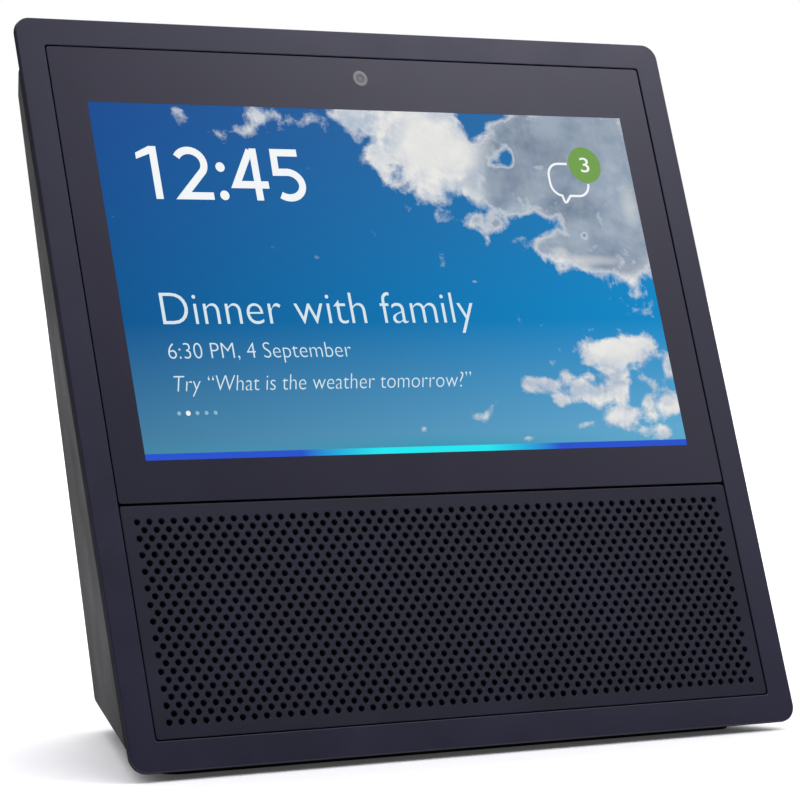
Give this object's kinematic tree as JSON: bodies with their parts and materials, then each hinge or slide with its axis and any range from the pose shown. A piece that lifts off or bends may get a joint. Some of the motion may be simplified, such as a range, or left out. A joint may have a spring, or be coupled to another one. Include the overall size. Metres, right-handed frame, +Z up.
{
  "type": "smart display speaker",
  "caption": "Tabletop smart display and speaker: a leaning plate with a touch screen over a perforated speaker grille, in front of a tapering shell on a rubber foot.",
  "frame": {"origin": "middle of the overall box in x and y, on the surface that the foot stands on", "axes": "+Z up, +Y from the screen to the back, +X to the right of a person facing the screen"},
  "size_m": [0.1872, 0.0903, 0.1768],
  "materials": {
    "plate_plastic": "fine satin, dark blue-grey",
    "cover_glass": "polished, black border printed behind",
    "camera_glass": "polished",
    "screen_glass": "polarised, lit picture",
    "grille_plastic": "fine satin",
    "grille_cloth": "fine open weave",
    "shell_plastic": "fine spark texture",
    "button_plastic": "satin",
    "jack_plastic": "smooth",
    "inner_plastic": "as moulded",
    "foot_rubber": "dull",
    "pressed_steel": "rolled, tinned",
    "magnet_ferrite": "sintered, dull",
    "cone_paper": "pressed pulp",
    "copper": "bright",
    "board_green": "solder mask",
    "sink_aluminium": "extruded",
    "flex_amber": "polyimide film",
    "wire_red": "smooth",
    "screw_steel": "blackened"
  },
  "bodies": {
    "housing": {"front_bezel": "plate_plastic", "cover_glass": "cover_glass", "camera_window": "camera_glass", "lcd_panel": "screen_glass", "speaker_grille": "grille_plastic", "grille_cloth": "grille_cloth", "rear_cover": "shell_plastic", "base_plate": "shell_plastic", "power_jack": "jack_plastic", "camera_barrel": "jack_plastic", "mid_frame": "inner_plastic", "light_sensor": "inner_plastic", "speaker_baffle": "inner_plastic", "speaker_chamber": "inner_plastic", "rubber_foot": "foot_rubber", "thermal_pad": "foot_rubber", "left_surround": "foot_rubber", "right_surround": "foot_rubber", "display_tray": "pressed_steel", "left_driver_frame": "pressed_steel", "right_driver_frame": "pressed_steel", "usb_socket": "pressed_steel", "processor_shield": "pressed_steel", "wifi_module": "pressed_steel", "mute_switch": "pressed_steel", "volume_down_switch": "pressed_steel", "volume_up_switch": "pressed_steel", "left_driver_magnet": "magnet_ferrite", "right_driver_magnet": "magnet_ferrite", "left_antenna": "copper", "right_antenna": "copper", "camera_board": "board_green", "main_board": "board_green", "button_board": "board_green", "port_board": "board_green", "heat_sink": "sink_aluminium", "display_flex": "flex_amber", "camera_flex": "flex_amber", "left_speaker_wire": "wire_red", "right_speaker_wire": "wire_red", "base_screw_1": "screw_steel", "base_screw_2": "screw_steel", "base_screw_3": "screw_steel", "base_screw_4": "screw_steel", "frame_screw_1": "screw_steel", "frame_screw_2": "screw_steel", "frame_screw_3": "screw_steel", "frame_screw_4": "screw_steel"},
    "mute_button": {"mute_button": "button_plastic"},
    "volume_down_button": {"volume_down_button": "button_plastic"},
    "volume_up_button": {"volume_up_button": "button_plastic"},
    "left_cone": {"left_cone": "cone_paper", "left_dust_cap": "cone_paper", "left_voice_coil": "copper"},
    "right_cone": {"right_cone": "cone_paper", "right_dust_cap": "cone_paper", "right_voice_coil": "copper"}
  },
  "joints": [
    {"name": "mute_press", "type": "slide", "parent": "housing", "child": "mute_button", "axis": [0, -0.342, -0.9397], "range_m": [0, 0.0006], "stiffness_N_per_m": 500, "springref_m": -0.001},
    {"name": "volume_down_press", "type": "slide", "parent": "housing", "child": "volume_down_button", "axis": [0, -0.342, -0.9397], "range_m": [0, 0.0006], "stiffness_N_per_m": 500, "springref_m": -0.001},
    {"name": "volume_up_press", "type": "slide", "parent": "housing", "child": "volume_up_button", "axis": [0, -0.342, -0.9397], "range_m": [0, 0.0006], "stiffness_N_per_m": 500, "springref_m": -0.001},
    {"name": "left_cone_stroke", "type": "slide", "parent": "housing", "child": "left_cone", "axis": [0, -0.9397, 0.342], "range_m": [-0.0015, 0.0015], "stiffness_N_per_m": 1500},
    {"name": "right_cone_stroke", "type": "slide", "parent": "housing", "child": "right_cone", "axis": [0, -0.9397, 0.342], "range_m": [-0.0015, 0.0015], "stiffness_N_per_m": 1500}
  ]
}
